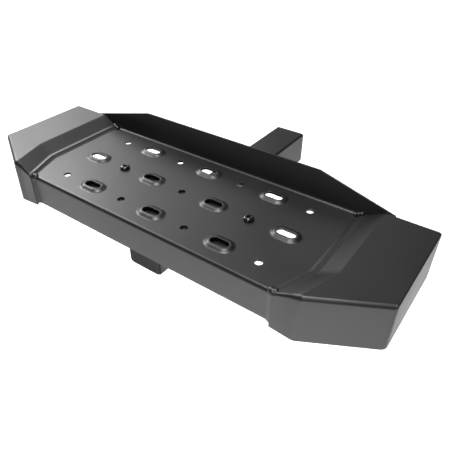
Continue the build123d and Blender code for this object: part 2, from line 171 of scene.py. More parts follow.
# Button bolts
BOLT_X = 2 * PITCH_X
BOLT_RADIUS = 4.0
BOLT_LENGTH = 25.0
THREAD_PITCH = 1.25
THREAD_DEPTH = 0.7
HEAD_RADIUS = 7.0
HEAD_HEIGHT = 4.4
HEAD_RIM = 0.6
HEAD_UNDERCUT = 0.5
HEAD_CORNER = 0.15
CROWN_STEPS = 8
SOCKET_FLATS = 5.0
SOCKET_DEPTH = 2.6
SOCKET_BEVEL = 0.35
SOCKET_BEVEL_REACH = 0.5
SOCKET_LAND = 1.0
SOCKET_CONE = 0.5
NECK_LENGTH = 5.0
THREAD_TOP = 5.5
THREAD_LENGTH = 18.0
THREAD_STEPS = 5
POINT_CHAMFER = 0.3

# Structural beads
BEAD_LEG = 4.0
BEAD_HOLLOW = -0.22
RIPPLE = 2.4
RIPPLE_STEPS = 4
RIPPLE_LEAST = 0.86
RIPPLE_SWELL = 0.13
BEAD_END = 3.0
BEAD_END_SHARE = 0.55
RIPPLE_LAG = 1.1

# Front plug: insets are from the flange's outside
PLUG_EDGE = 2.0
PLUG_EDGE_STEPS = 6
PLUG_CORNER = 6.0
PLUG_FLANGE = 2.5
PLUG_DISH = [(6.0, 2.0, 0.5), (5.0, 2.4, 0.1)]
PLUG_BODY_INSET = 6.0
PLUG_BODY_CORNER = 2.0
PLUG_FIN_INSET = 4.85
PLUG_FIN_DEPTHS = (5.4, 10.8, 16.2)
PLUG_FIN_LAND = 0.4
PLUG_FIN_FOOT = 0.8
PLUG_HOLLOW_INSET = 8.0
PLUG_HOLLOW_CORNER = 1.0
PLUG_FLOOR = 3.0

tray_low, tray_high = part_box("deck_tray")
DATUM = Vector((0.0, tray_low.y - FRONT_Y * MM, tray_high.z - WALL_TOP * MM))


def place(x, y, z):
    """A point given in millimetres from the deck's datum, in metres in the row's frame."""
    return (x * MM, y * MM + DATUM.y, z * MM + DATUM.z)


def to_mm(point):
    """A point in metres in the row's frame, back in millimetres from the datum."""
    return Vector(((point.x - DATUM.x) / MM, (point.y - DATUM.y) / MM, (point.z - DATUM.z) / MM))


def lerp(a, b, share):
    return a + (b - a) * share


def wall_y(height):
    """Front face of the leaning back wall."""
    return REAR_Y + height * math.tan(WALL_LEAN)


# --- Materials --------------------------------------------------------------------------
def new_material(name, roughness, metallic=0.0, specular=0.5):
    material = bpy.data.materials.new(name)
    material.use_nodes = True
    shader = material.node_tree.nodes["Principled BSDF"]
    shader.inputs["Roughness"].default_value = roughness
    shader.inputs["Metallic"].default_value = metallic
    shader.inputs["Specular IOR Level"].default_value = specular
    return material, material.node_tree, shader


def noise(tree, coordinates, scale, detail=3.0):
    """A cloudy value over the surface; the scale is in cells to a metre."""
    texture = tree.nodes.new("ShaderNodeTexNoise")
    texture.inputs["Scale"].default_value = scale
    texture.inputs["Detail"].default_value = detail
    tree.links.new(coordinates, texture.inputs["Vector"])
    return texture.outputs["Fac"]


def spread(tree, value, low, high):
    """Map a noise value, which stays mostly between 0.3 and 0.7, to a range."""
    node = tree.nodes.new("ShaderNodeMapRange")
    node.inputs["From Min"].default_value = 0.3
    node.inputs["From Max"].default_value = 0.7
    node.inputs["To Min"].default_value = low
    node.inputs["To Max"].default_value = high
    tree.links.new(value, node.inputs["Value"])
    return node.outputs["Result"]


def colour_between(tree, value, dark, light):
    """A colour that follows a noise value from dark to light."""
    ramp = tree.nodes.new("ShaderNodeValToRGB")
    ramp.color_ramp.elements[0].position = 0.3
    ramp.color_ramp.elements[0].color = (*dark, 1)
    ramp.color_ramp.elements[1].position = 0.7
    ramp.color_ramp.elements[1].color = (*light, 1)
    tree.links.new(value, ramp.inputs["Fac"])
    return ramp.outputs["Color"]


def bump(tree, shader, height, depth):
    """Fine relief, whose depth is given in millimetres."""
    node = tree.nodes.new("ShaderNodeBump")
    node.inputs["Distance"].default_value = depth * MM
    node.inputs["Strength"].default_value = 1.0
    tree.links.new(height, node.inputs["Height"])
    tree.links.new(node.outputs["Normal"], shader.inputs["Normal"])


def powder_coat():
    """Satin black powder coat: fine orange peel, faint cloudiness in colour and gloss."""
    material, tree, shader = new_material("powder_coat", 0.4)
    where = tree.nodes.new("ShaderNodeTexCoord").outputs["Object"]
    cloud = noise(tree, where, scale=14.0, detail=4.0)
    peel = noise(tree, where, scale=650.0)
    tree.links.new(
        colour_between(tree, cloud, (0.0025, 0.0025, 0.0026), (0.0045, 0.0045, 0.0047)),
        shader.inputs["Base Color"],
    )
    tree.links.new(spread(tree, cloud, low=0.37, high=0.43), shader.inputs["Roughness"])
    bump(tree, shader, peel, depth=0.04)
    return material


def black_oxide():
    """Oil-blacked steel: dark, with the shine of the machined surface under it."""
    material, tree, shader = new_material("black_oxide", 0.2)
    where = tree.nodes.new("ShaderNodeTexCoord").outputs["Object"]
    stain = noise(tree, where, scale=260.0)
    tree.links.new(
        colour_between(tree, stain, (0.004, 0.004, 0.0045), (0.012, 0.0115, 0.011)),
        shader.inputs["Base Color"],
    )
    tree.links.new(spread(tree, stain, low=0.12, high=0.22), shader.inputs["Roughness"])
    grain = noise(tree, where, scale=2400.0, detail=2.0)
    bump(tree, shader, grain, depth=0.01)
    return material


def zinc_plate():
    """Bright zinc plating with a faint grain."""
    material, tree, shader = new_material("zinc_plate", 0.3, metallic=1.0)
    where = tree.nodes.new("ShaderNodeTexCoord").outputs["Object"]
    grain = noise(tree, where, scale=700.0, detail=4.0)
    tree.links.new(
        colour_between(tree, grain, (0.52, 0.53, 0.55), (0.68, 0.68, 0.66)),
        shader.inputs["Base Color"],
    )
    tree.links.new(spread(tree, grain, low=0.24, high=0.4), shader.inputs["Roughness"])
    bump(tree, shader, grain, depth=0.01)
    return material


def black_plastic():
    """Moulded black plastic with a light spark-eroded texture."""
    material, tree, shader = new_material("black_plastic", 0.7, specular=0.2)
    where = tree.nodes.new("ShaderNodeTexCoord").outputs["Object"]
    grain = noise(tree, where, scale=1500.0)
    tree.links.new(
        colour_between(tree, grain, (0.012, 0.012, 0.013), (0.02, 0.02, 0.021)),
        shader.inputs["Base Color"],
    )
    tree.links.new(spread(tree, grain, low=0.62, high=0.78), shader.inputs["Roughness"])
    bump(tree, shader, grain, depth=0.04)
    return material


MATERIALS = {
    "powder_coat": powder_coat(),
    "black_oxide": black_oxide(),
    "zinc_plate": zinc_plate(),
    "black_plastic": black_plastic(),
}
SLOT_OF = {part["node"]: part["material_slot"] for part in frame["record"]["subparts"]}
for node_name, node in frame["nodes"].items():
    node.data.materials.clear()
    node.data.materials.append(MATERIALS[SLOT_OF[node_name]])


# --- Mesh helpers -----------------------------------------------------------------------
def bake(piece):
    """Replace a piece's mesh by what its modifiers make of it."""
    bpy.context.view_layer.update()
    graph = bpy.context.evaluated_depsgraph_get()
    made = bpy.data.meshes.new_from_object(piece.evaluated_get(graph))
    piece.modifiers.clear()
    piece.data = made


def roll_edges(piece, widest, width_at, segments=3):
    """Round the edges that turn by more than 50 degrees, as far as width_at(point) says."""
    work = bmesh.new()
    work.from_mesh(piece.data)
    weights = work.edges.layers.float.new("bevel_weight_edge")
    for edge in work.edges:
        if edge.is_manifold and edge.calc_face_angle() > math.radians(50):
            edge[weights] = width_at(to_mm((edge.verts[0].co + edge.verts[1].co) / 2)) / widest
    work.to_mesh(piece.data)
    work.free()
    rim = piece.modifiers.new("edge", "BEVEL")
    rim.width = widest * MM
    rim.segments = segments
    rim.limit_method = "WEIGHT"
    bake(piece)


def finish_piece(name, points, faces, node, sheet=0.0, edge=None, smooth_deg=35.0):
    """Make a piece from points in millimetres, thicken it as sheet, and roll its edges."""
    mesh = bpy.data.meshes.new(name)
    mesh.from_pydata([place(*point) for point in points], [], faces)
    work = bmesh.new()
    work.from_mesh(mesh)
    bmesh.ops.remove_doubles(work, verts=work.verts, dist=MERGE * MM)
    bmesh.ops.recalc_face_normals(work, faces=work.faces)
    if sheet and sum(face.normal.z * face.calc_area() for face in work.faces) < 0:
        bmesh.ops.reverse_faces(work, faces=work.faces)
    work.to_mesh(mesh)
    work.free()
    piece = bpy.data.objects.new(name, mesh)
    bpy.context.scene.collection.objects.link(piece)
    if sheet:
        thicken = piece.modifiers.new("sheet", "SOLIDIFY")
        thicken.thickness = sheet * MM
        thicken.offset = -1
        thicken.use_even_offset = True
        bake(piece)
    if edge:
        roll_edges(piece, *edge)
    dress(piece, node, smooth_deg)


def dress(piece, node, smooth_deg=35.0):
    """Shade a piece so that its flats stay flat, and let it stand for its CAD node."""
    piece.data.shade_smooth()
    piece.data.set_sharp_from_angle(angle=math.radians(smooth_deg))
    flats = piece.modifiers.new("flats", "WEIGHTED_NORMAL")
    flats.mode = "FACE_AREA"
    flats.weight = 90
    flats.keep_sharp = True
    bake(piece)
    piece.data.materials.clear()
    piece.data.materials.append(MATERIALS[SLOT_OF[node]])
    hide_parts(node)
    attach(piece, "root")


class Skin:
    """Points and faces of one surface, gathered piece by piece."""

    def __init__(self):
        self.points = []
        self.faces = []

    def add(self, point):
        self.points.append(tuple(point))
        return len(self.points) - 1

    def row(self, points):
        return [self.add(point) for point in points]

    def bridge(self, first, second):
        """Quads between two rows of the same length."""
        for k in range(len(first) - 1):
            self.faces.append((first[k], second[k], second[k + 1], first[k + 1]))

    def mirrored(self):
        """The same surface on the other side of the middle plane."""
        twin = Skin()
        twin.points = [(-x, y, z) for x, y, z in self.points]
        twin.faces = [tuple(reversed(face)) for face in self.faces]
        return twin


def lathe(skin, centre, profile, steps=24):
    """Turn (radius, height) pairs round a vertical axis; a radius may depend on the angle."""
    rows = []
    for radius, height in profile:
        if radius == 0:
            rows.append([skin.add((centre[0], centre[1], centre[2] + height))] * (steps + 1))
            continue
        row = []
        for k in range(steps):
            angle = 2 * math.pi * k / steps
            reach = radius(angle) if callable(radius) else radius
            x = centre[0] + reach * math.cos(angle)
            y = centre[1] + reach * math.sin(angle)
            row.append(skin.add((x, y, centre[2] + height)))
        rows.append(row + row[:1])
    for upper, lower in zip(rows, rows[1:]):
        for k in range(steps):
            corners = [upper[k], lower[k], lower[k + 1], upper[k + 1]]
            skin.faces.append(tuple(dict.fromkeys(corners)))


def obround(centre, radius, half_straight=0.0, steps=16):
    """Points around a slot's outline, or around a circle when it has no straight part."""
    points = []
    for side in (1, -1):
        for k in range(steps + 1):
            angle = math.pi * (k / steps - 0.5) + (0 if side > 0 else math.pi)
            x = centre[0] + side * half_straight + radius * math.cos(angle)
            y = centre[1] + radius * math.sin(angle)
            points.append((x, y))
    if not half_straight:
        points = points[:steps] + points[steps + 1 : -1]
    return points


# --- Step tray --------------------------------------------------------------------------
def slot_centres():
    places = [(k * PITCH_X, row * PITCH_Y) for row in (-1, 1) for k in (-2, 0, 2)]
    return places + [(k * PITCH_X, 0.0) for k in (-3, -1, 1, 3)]


def drain_centres():
    places = [(k * PITCH_X, row * PITCH_Y) for row in (-1, 1) for k in (-3, -1, 1, 3)]
    return places + [(0.0, 0.0)]


def rim_height(reach):
    """Height of a traction rim at a distance out from its slot's edge."""
    share = min(max((reach - RIM_LAND) / (RIM_REACH - RIM_LAND), 0.0), 1.0)
    return RIM_RISE * 0.5 * (1 + math.cos(math.pi * share))


def tray_edge(point):
    """How far the tray's edges are rolled: more round the lips of the traction slots."""
    near_rim_top = abs(point.z - RIM_RISE) < SLOT_LIP_ZONE
    clear_of_wall = point.y < REAR_Y - WALL_ZONE
    return SLOT_LIP if near_rim_top and clear_of_wall else CUT_EDGE


def add_rims(skin):
    """The raised rim round every traction slot, from the slot's edge down to the deck."""
    half_straight = (SLOT_LENGTH - SLOT_WIDTH) / 2
    reaches = [0.0, RIM_LAND_MIDDLE, RIM_LAND]
    reaches += [lerp(RIM_LAND, RIM_REACH, (k + 1) / RIM_STEPS) for k in range(RIM_STEPS)]
    for centre in slot_centres():
        rows = []
        for reach in reaches:
            outline = obround(centre, SLOT_WIDTH / 2 + reach, half_straight)
            rows.append(skin.row([(x, y, rim_height(reach)) for x, y in outline]))
        for inner, outer in zip(rows, rows[1:]):
            skin.bridge(inner + inner[:1], outer + outer[:1])


def deck_openings():
    """What the deck's flat part goes round: a centre, a radius and half a straight length."""
    half_straight = (SLOT_LENGTH - SLOT_WIDTH) / 2
    rim_radius = SLOT_WIDTH / 2 + RIM_REACH
    openings = [(centre, rim_radius, half_straight) for centre in slot_centres()]
    openings += [(centre, DRAIN_RADIUS, 0.0) for centre in drain_centres()]
    return openings + [((side * BOLT_X, 0.0), BOLT_HOLE_RADIUS, 0.0) for side in (-1, 1)]


def add_deck(skin, front_y, rear_y):
    """The flat part of the deck, between the front bend and the rear bend."""
    openings = deck_openings()
    edge = [(DECK_FRONT_EDGE_X, front_y), (DECK_EDGE_X, KINK_Y), (DECK_EDGE_X, RELIEF_Y)]
    edge += [(RELIEF_X, RELIEF_Y), (RELIEF_X, rear_y)]
    edge += [(-x, y) for x, y in reversed(edge)]
    flat = []
    lines = []
    for outline in [edge] + [obround(*opening) for opening in openings]:
        first, count = len(flat), len(outline)
        flat += [Vector(point) for point in outline]
        lines += [(first + k, first + (k + 1) % count) for k in range(count)]
    points, _, triangles = delaunay_2d_cdt(flat, lines, [], 1, 1e-6)[:3]
    ids = [skin.add((point.x, point.y, 0.0)) for point in points]

    def in_an_opening(x, y):
        for centre, radius, half_straight in openings:
            dx = max(abs(x - centre[0]) - half_straight, 0.0)
            if math.hypot(dx, y - centre[1]) < radius - 1e-3:
                return True
        return False

    def in_the_deck(x, y):
        inside = False
        for k, (ax, ay) in enumerate(edge):
            bx, by = edge[k - 1]
            if (ay > y) != (by > y) and x < (bx - ax) * (y - ay) / (by - ay) + ax:
                inside = not inside
        return inside

    for triangle in triangles:
        a, b, c = (points[k] for k in triangle)
        x, y = (a.x + b.x + c.x) / 3, (a.y + b.y + c.y) / 3
        if in_the_deck(x, y) and not in_an_opening(x, y):
            turn_sign = (b.x - a.x) * (c.y - a.y) - (b.y - a.y) * (c.x - a.x)
            order = triangle if turn_sign > 0 else reversed(triangle)
            skin.faces.append(tuple(ids[k] for k in order))


def add_front(skin, bend_y):
    """The front bend and the skirt."""
    profile = [(bend_y, 0.0)]
    for k in range(1, BEND_STEPS + 1):
        angle = math.pi / 2 * k / BEND_STEPS
        profile.append((bend_y - FRONT_BEND * math.sin(angle), FRONT_BEND * (math.cos(angle) - 1)))
    profile.append((FRONT_Y, SKIRT_BOTTOM))
    left = skin.row([(-DECK_FRONT_EDGE_X, y, z) for y, z in profile])
    right = skin.row([(DECK_FRONT_EDGE_X, y, z) for y, z in profile])
    skin.bridge(left, right)


def add_rear(skin, bend_y, turn):
    """The rear bend and the leaning wall, whose ends pass behind the caps."""
    profile = [(bend_y, 0.0)]
    for k in range(1, BEND_STEPS + 1):
        angle = turn * k / BEND_STEPS
        y = bend_y + REAR_BEND * math.sin(angle)
        profile.append((y, REAR_BEND * (1 - math.cos(angle))))
    left = skin.row([(-RELIEF_X, y, z) for y, z in profile])
    right = skin.row([(RELIEF_X, y, z) for y, z in profile])
    skin.bridge(right, left)
    outline = [(RELIEF_X, TAB_BOTTOM), (WALL_END_HALF, TAB_BOTTOM)]
    outline += [(WALL_END_HALF, CAP_TOP - WALL_END_DROP), (WALL_FLAT_HALF, WALL_TOP)]
    outline += [(-x, z) for x, z in reversed(outline)]
    upper = skin.row([(x, wall_y(z), z) for x, z in outline])
    skin.faces.append(tuple([left[-1], right[-1]] + upper))


def build_tray():
    """One folded sheet: skirt, deck with its openings, and back wall."""
    front_bend_y = FRONT_Y + FRONT_BEND
    turn = math.pi / 2 - WALL_LEAN
    rear_bend_y = REAR_Y - REAR_BEND * math.tan(turn / 2)
    skin = Skin()
    add_rims(skin)
    add_deck(skin, front_bend_y, rear_bend_y)
    add_front(skin, front_bend_y)
    add_rear(skin, rear_bend_y, turn)
    finish_piece("step_tray", skin.points, skin.faces, "deck_tray", SHEET, (SLOT_LIP, tray_edge, 4))


# --- End caps ---------------------------------------------------------------------------
def cap_corner(index, z):
    share = (z - CAP_BOTTOM) / (CAP_TOP - CAP_BOTTOM)
    low, high = Vector(CAP_CORNERS_BOTTOM[index]), Vector(CAP_CORNERS_TOP[index])
    return low.lerp(high, share)


def cap_wall(index, z, inset):
    """A wall of the cap at a height, moved in: a point on it, its direction and normal."""
    start, end = cap_corner(index, z), cap_corner(index + 1, z)
    along = (end - start).normalized()
    outward = Vector((along.y, -along.x))
    return start - outward * inset, along, outward


def wall_point(index, x, z, inset=0.0):
    """The point at a given x on a cap's front or rear wall."""
    start, along, _ = cap_wall(index, z, inset)
    return (x, start.y + along.y * (x - start.x) / along.x, z)


def corner_point(index, share, z, inset=0.0):
    """A point on the rounded corner between wall index-1 and wall index."""
    start, along, outward = cap_wall(index - 1, z, inset)
    second, along2, _ = cap_wall(index, z, inset)
    cross = along.x * along2.y - along.y * along2.x
    offset = second - start
    reach = (offset.x * along2.y - offset.y * along2.x) / cross
    corner = start + along * reach
    depth = (CAP_TOP - z) / (CAP_TOP - CAP_BOTTOM)
    radius = lerp(CORNER_RADII_TOP[index - 1], CORNER_RADII_BOTTOM[index - 1], depth)
    radius = max(radius - inset, LEAST_CORNER_RADIUS)
    turn = math.acos(max(-1.0, min(1.0, along.dot(along2))))
    tangent = corner - along * radius * math.tan(turn / 2)
    centre = tangent - outward * radius
    angle = math.atan2(outward.y, outward.x) + turn * share
    point = centre + Vector((math.cos(angle), math.sin(angle))) * radius
    return (point.x, point.y, z)


def ramp(u, soft_base, soft_crest):
    """Rises from 0 at u=0 to 1 at u=1, with both creases rounded."""
    if u <= -soft_base:
        return 0.0
    if u < soft_base:
        return (u + soft_base) ** 2 / (4 * soft_base)
    if u <= 1 - soft_crest:
        return u
    if u < 1 + soft_crest:
        return 1 - (1 + soft_crest - u) ** 2 / (4 * soft_crest)
    return 1.0


def front_bend(x):
    """Radius of the bend along the cap's front edge, which opens out towards the corner."""
    share = (x - LIP_EDGE[2][0]) / (SLOPE_CREST[2][0] - LIP_EDGE[2][0])
    return lerp(BEND_AT_LIP, CORNER_BENDS[0][0], min(share, 1.0))


def kinked(rear, kink, front, soft):
    """Points along a line that turns at its middle point, with the turn rounded."""
    before = kink + (rear - kink).normalized() * soft
    after = kink + (front - kink).normalized() * soft
    points = [rear]
    for k in range(KINK_STEPS + 1):
        t = k / KINK_STEPS
        points.append(before * (1 - t) ** 2 + kink * 2 * t * (1 - t) + after * t * t)
    points += [after.lerp(front, k / KINK_STEPS) for k in range(1, KINK_STEPS + 1)]
    return points


def build_cap():
    """The outer skin of the right-hand cap; its sheet is thickened inwards later."""
    skin = Skin()

    # The strip from the lip's edge, which is None here, over the slope to just past its crest
    crosses = [None, -SOFT_BASE, 0.0, SOFT_BASE] + SLOPE_SHARES
    crosses += [1 + SOFT_CREST * k / 2 for k in range(-2, 3)]
    strip = []
    heights = []
    for u in crosses:
        share = -SOFT_BASE if u is None else u
        z = lerp(SHEET, CAP_TOP, ramp(share, SOFT_BASE, SOFT_CREST))
        ends = []
        for k in range(3):
            if u is None:
                ends.append(Vector(LIP_EDGE[k]))
            else:
                beyond = max(u - 1, 0) * (1 - CREST_FRONT_TIGHTNESS) if k == 2 else 0
                ends.append(Vector(SLOPE_BASE[k]).lerp(Vector(SLOPE_CREST[k]), u - beyond))
        rear = Vector((ends[0].x, LIP_EDGE[0][1] if u is None else wall_y(z) - WALL_GAP))
        front_x = ends[2].x
        front = Vector(wall_point(0, front_x, z, front_bend(front_x))[:2])
        at_lip, at_base, at_crest = KINK_SOFTNESS
        soft = at_lip if u is None else lerp(at_base, at_crest, max(u, 0.0))
        line = kinked(rear, ends[1], front, soft)
        strip.append(skin.row([(p.x, p.y, z) for p in line]))
        heights.append((front_x, z))
    for first, second in zip(strip, strip[1:]):
        skin.bridge(first, second)

    # Walls: each station is a column from the top face round the bend and down
    def column(point_at, z_top, bend, start=None):
        rows = [start if start is not None else skin.add(point_at(z_top, bend))]
        for k in range(1, FILLET_STEPS + 1):
            angle = math.pi / 2 * k / FILLET_STEPS
            inset = bend * (1 - math.sin(angle))
            rows.append(skin.add(point_at(z_top - bend * (1 - math.cos(angle)), inset)))
        wall_top = min(LIP_WALL_TOP, z_top - bend - WALL_BELOW_BEND)
        for z in (wall_top, WALL_MIDDLE, CAP_BOTTOM):
            rows.append(skin.add(point_at(z, 0.0)))
        return rows

    def front_station(x_top, z_top):
        """A column on the front wall that keeps its share of the way to the next corner."""
        edge_x = LIP_EDGE[2][0]
        corner_x = corner_point(1, 0, z_top, front_bend(x_top))[0]
        share = (x_top - edge_x) / (corner_x - edge_x)

        def point_at(z, inset):
            x = lerp(edge_x, corner_point(1, 0, z, inset)[0], share)
            height = (z - CAP_BOTTOM) / (CAP_TOP - CAP_BOTTOM)
            fold = lerp(DRAWN_FOLDS[0], DRAWN_FOLDS[1], height)
            drawn = DRAWN_IN * height * min(share / fold, (1 - share) / (1 - fold))
            return wall_point(0, x, z, inset + drawn)

        return point_at

    def corner_station(corner, share):
        return lambda z, inset: corner_point(corner, share, z, inset)

    columns = []
    for row, (x, z) in zip(strip, heights):
        columns.append(column(front_station(x, z), z, front_bend(x), row[-1]))
    for corner in (1, 2, 3):
        for k in range(CORNER_STEPS + 1):
            share = k / CORNER_STEPS
            bend = lerp(*CORNER_BENDS[corner - 1], share)
            columns.append(column(corner_station(corner, share), CAP_TOP, bend))
    rear_bend = CORNER_BENDS[-1][1]
    columns.append(
        column(lambda z, inset: wall_point(3, CAP_NOTCH_X, z, inset), CAP_TOP, rear_bend)
    )
    for first, second in zip(columns, columns[1:]):
        skin.bridge(second, first)

    # Top face, notched for the end of the back wall
    rim = [column_rows[0] for column_rows in columns[len(strip) :]]
    notch = skin.add((CAP_NOTCH_X, wall_y(CAP_TOP) - WALL_GAP, CAP_TOP))
    skin.faces.append(tuple(list(reversed(strip[-1])) + [notch] + list(reversed(rim))))

    # Rear wall below the tray's tab
    last = columns[-1][FILLET_STEPS + 1 :]
    heights = (LIP_WALL_TOP, WALL_MIDDLE, CAP_BOTTOM)
    inner = skin.row([wall_point(3, CAP_REAR_INNER_X, z) for z in heights])
    skin.bridge(inner, last)
    return skin


def build_caps():
    skin = build_cap()
    cap_edge = (CUT_EDGE, lambda point: CUT_EDGE)
    finish_piece("end_cap_right", skin.points, skin.faces, "right_end_cap", SHEET, cap_edge)
    twin = skin.mirrored()
    finish_piece("end_cap_left", twin.points, twin.faces, "left_end_cap", SHEET, cap_edge)


# --- Cap welds --------------------------------------------------------------------------
def dab(skin, centre, radii, steps=16):
    """A rounded spot of weld metal: a sphere, pulled to three radii."""
    first = len(skin.points)
    profile = [(0, 1.0)]
    for k in range(1, steps // 2):
        angle = 2 * math.pi * k / steps
        profile.append((math.sin(angle), math.cos(angle)))
    profile.append((0, -1.0))
    lathe(skin, (0.0, 0.0, 0.0), profile, steps)
    for k in range(first, len(skin.points)):
        skin.points[k] = tuple(c + r * v for c, r, v in zip(centre, radii, skin.points[k]))


def pit(skin, centre, size):
    """A small crater with a raised rim, where a weld was stopped."""
    profile = [(size * reach, size * height) for reach, height in CRATER_PROFILE]
    lathe(skin, centre, profile, 20)


def fillet_section(toe, top, heel, hollow):
    """A fillet from the toe up to the top, closed through the heel; hollow < 0 bulges out."""
    toe, top, heel = Vector(toe), Vector(top), Vector(heel)
    middle = (toe + top) / 2
    middle += (heel - middle) * hollow * 2
    points = []
    for k in range(SECTION_STEPS + 1):
        t = k / SECTION_STEPS
        points.append(toe * (1 - t) ** 2 + middle * 2 * t * (1 - t) + top * t * t)
    return points + [heel]


def sweep(skin, sections):
    """Join closed sections into one solid."""
    rows = [skin.row(points) for points in sections]
    for first, second in zip(rows, rows[1:]):
        skin.bridge(first + first[:1], second + second[:1])
    skin.faces.append(tuple(rows[0]))
    skin.faces.append(tuple(reversed(rows[-1])))


def build_cap_welds():
    """A smooth fillet along the lip's edge, one down the skirt, and spots at both ends."""
    skin = Skin()
    toe_line = [Vector((x - WELD_LEG, y)) for x, y in LIP_EDGE]
    toe_line[1].y = KINK_Y
    edge_line = [Vector(point) for point in LIP_EDGE]
    for line in (toe_line, edge_line):
        line[0].y = REAR_Y - WELD_REAR_GAP
    front_share = (FRONT_Y + WELD_FRONT_GAP - KINK_Y) / (LIP_EDGE[2][1] - KINK_Y)
    toe_line[2] = toe_line[1].lerp(toe_line[2], front_share)
    edge_line[2] = edge_line[1].lerp(edge_line[2], front_share)
    toes = kinked(*toe_line, KINK_SOFTNESS[0])
    edges = kinked(*edge_line, KINK_SOFTNESS[0])
    sweep(skin, [
        fillet_section(
            (toe.x, toe.y, 0), (edge.x, edge.y, SHEET), (edge.x, edge.y, 0), WELD_HOLLOW
        )
        for toe, edge in zip(toes, edges)
    ])
    edge_x = LIP_EDGE[2][0]
    sweep(skin, [
        fillet_section(
            (edge_x - SKIRT_WELD_REACH, FRONT_Y, z),
            wall_point(0, edge_x + SKIRT_WELD_OVERLAP, z),
            (edge_x + SKIRT_WELD_OVERLAP, FRONT_Y, z),
            SKIRT_WELD_HOLLOW,
        )
        for z in SKIRT_WELD_HEIGHTS
    ])
    front_corner = Vector((edge_x, FRONT_Y, 0.0))
    for offset, radii in FRONT_SPOTS:
        dab(skin, front_corner + Vector(offset), radii)
    pit(skin, front_corner + Vector(CRATER), CRATER_RADIUS)
    rear_corner = Vector((LIP_EDGE[0][0], REAR_Y, 0.0))
    for k in range(REAR_SPOTS):
        offset = Vector(REAR_SPOT_START) + Vector(REAR_SPOT_STEP) * k
        dab(skin, rear_corner + offset, REAR_SPOT_RADII)
    finish_piece("cap_weld_right", skin.points, skin.faces, "right_cap_weld", smooth_deg=50)
    twin = skin.mirrored()
    finish_piece("cap_weld_left", twin.points, twin.faces, "left_cap_weld", smooth_deg=50)


# --- Bolts ------------------------------------------------------------------------------
def hexagon(flats):
    """Radius of a hexagon with that size across its flats, as a function of the angle."""

    def radius(angle):
        return flats / 2 / math.cos((angle % (math.pi / 3)) - math.pi / 6)

    return radius


def thread_radius(z):
    """Radius of the bolt's thread at a height, as a function of the angle."""

    def radius(angle):
        turn = (z / THREAD_PITCH + angle / (2 * math.pi)) % 1.0
        return BOLT_RADIUS - THREAD_DEPTH * abs(2 * turn - 1)

    return radius


def build_bolt(name, node, x):
    """A button head with a hex socket, a plain neck and a rolled thread."""
    skin = Skin()
    socket = hexagon(SOCKET_FLATS)
    socket_floor = HEAD_HEIGHT - SOCKET_DEPTH
    profile = [(0, socket_floor - SOCKET_CONE), (socket, socket_floor)]
    profile.append((socket, HEAD_HEIGHT - SOCKET_BEVEL))
    profile.append((SOCKET_FLATS / 2 + SOCKET_BEVEL_REACH, HEAD_HEIGHT))
    crown = SOCKET_FLATS / 2 + SOCKET_LAND
    for k in range(CROWN_STEPS + 1):
        angle = math.pi / 2 * k / CROWN_STEPS
        reach = lerp(crown, HEAD_RADIUS, math.sin(angle))
        profile.append((reach, lerp(HEAD_RIM, HEAD_HEIGHT, math.cos(angle))))
    profile.append((HEAD_RADIUS - HEAD_CORNER, HEAD_CORNER))
    profile.append((HEAD_RADIUS - HEAD_UNDERCUT, 0.0))
    profile += [(BOLT_RADIUS, 0.0), (BOLT_RADIUS, -NECK_LENGTH)]
    rows = round(THREAD_LENGTH / THREAD_PITCH * THREAD_STEPS)
    for k in range(rows + 1):
        z = -THREAD_TOP - k * THREAD_PITCH / THREAD_STEPS
        profile.append((thread_radius(z), z))
    point_radius = BOLT_RADIUS - THREAD_DEPTH - POINT_CHAMFER
    profile += [(point_radius, -BOLT_LENGTH), (0, -BOLT_LENGTH)]
    lathe(skin, (x, 0.0, 0.0), profile)
    finish_piece(name, skin.points, skin.faces, node, smooth_deg=45)


# --- Structural beads -------------------------------------------------------------------
def build_bead(name, node, heel, along, length, legs):
    """A rippled fillet bead: convex, with a crescent for every step of the torch."""
    steps = round(length / RIPPLE) * RIPPLE_STEPS
    heel, along = Vector(heel), Vector(along)
    first, second = Vector(legs[0]), Vector(legs[1])
    skin = Skin()
    sections = []
    for k in range(steps + 1):
        distance = length * k / steps
        phase = (k % RIPPLE_STEPS) / RIPPLE_STEPS
        from_end = min(1.0, min(distance, length - distance) / BEAD_END)
        size = BEAD_LEG * (RIPPLE_LEAST + RIPPLE_SWELL * math.sin(math.pi * phase))
        size *= lerp(BEAD_END_SHARE, 1.0, from_end)
        centre = heel + along * distance
        points = fillet_section(centre + first * size, centre + second * size, centre, BEAD_HOLLOW)
        lag = RIPPLE_LAG * from_end
        for j in range(1, SECTION_STEPS):
            points[j] = points[j] + along * lag * math.sin(math.pi * j / SECTION_STEPS)
        sections.append(points)
    sweep(skin, sections)
    finish_piece(name, skin.points, skin.faces, node, smooth_deg=50)


def build_beads():
    for end, toward in (("front", -1), ("rear", 1)):
        low, high = (to_mm(corner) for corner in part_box(f"bracket_weld_{end}"))
        heel = (low.x, high.y if toward < 0 else low.y, low.z)
        legs = ((0, toward, 0), (0, 0, 1))
        length = high.x - low.x
        build_bead(f"bracket_bead_{end}", f"bracket_weld_{end}", heel, (1, 0, 0), length, legs)
        for hand, side in (("left", -1), ("right", 1)):
            node = f"gusset_weld_{end}_{hand}"
            low, high = (to_mm(corner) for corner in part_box(node))
            heel = (high.x if side < 0 else low.x, high.y if toward < 0 else low.y, low.z)
            legs = ((side, 0, 0), (0, toward, 0))
            name = f"gusset_bead_{end}_{hand}"
            build_bead(name, node, heel, (0, 0, 1), high.z - low.z, legs)


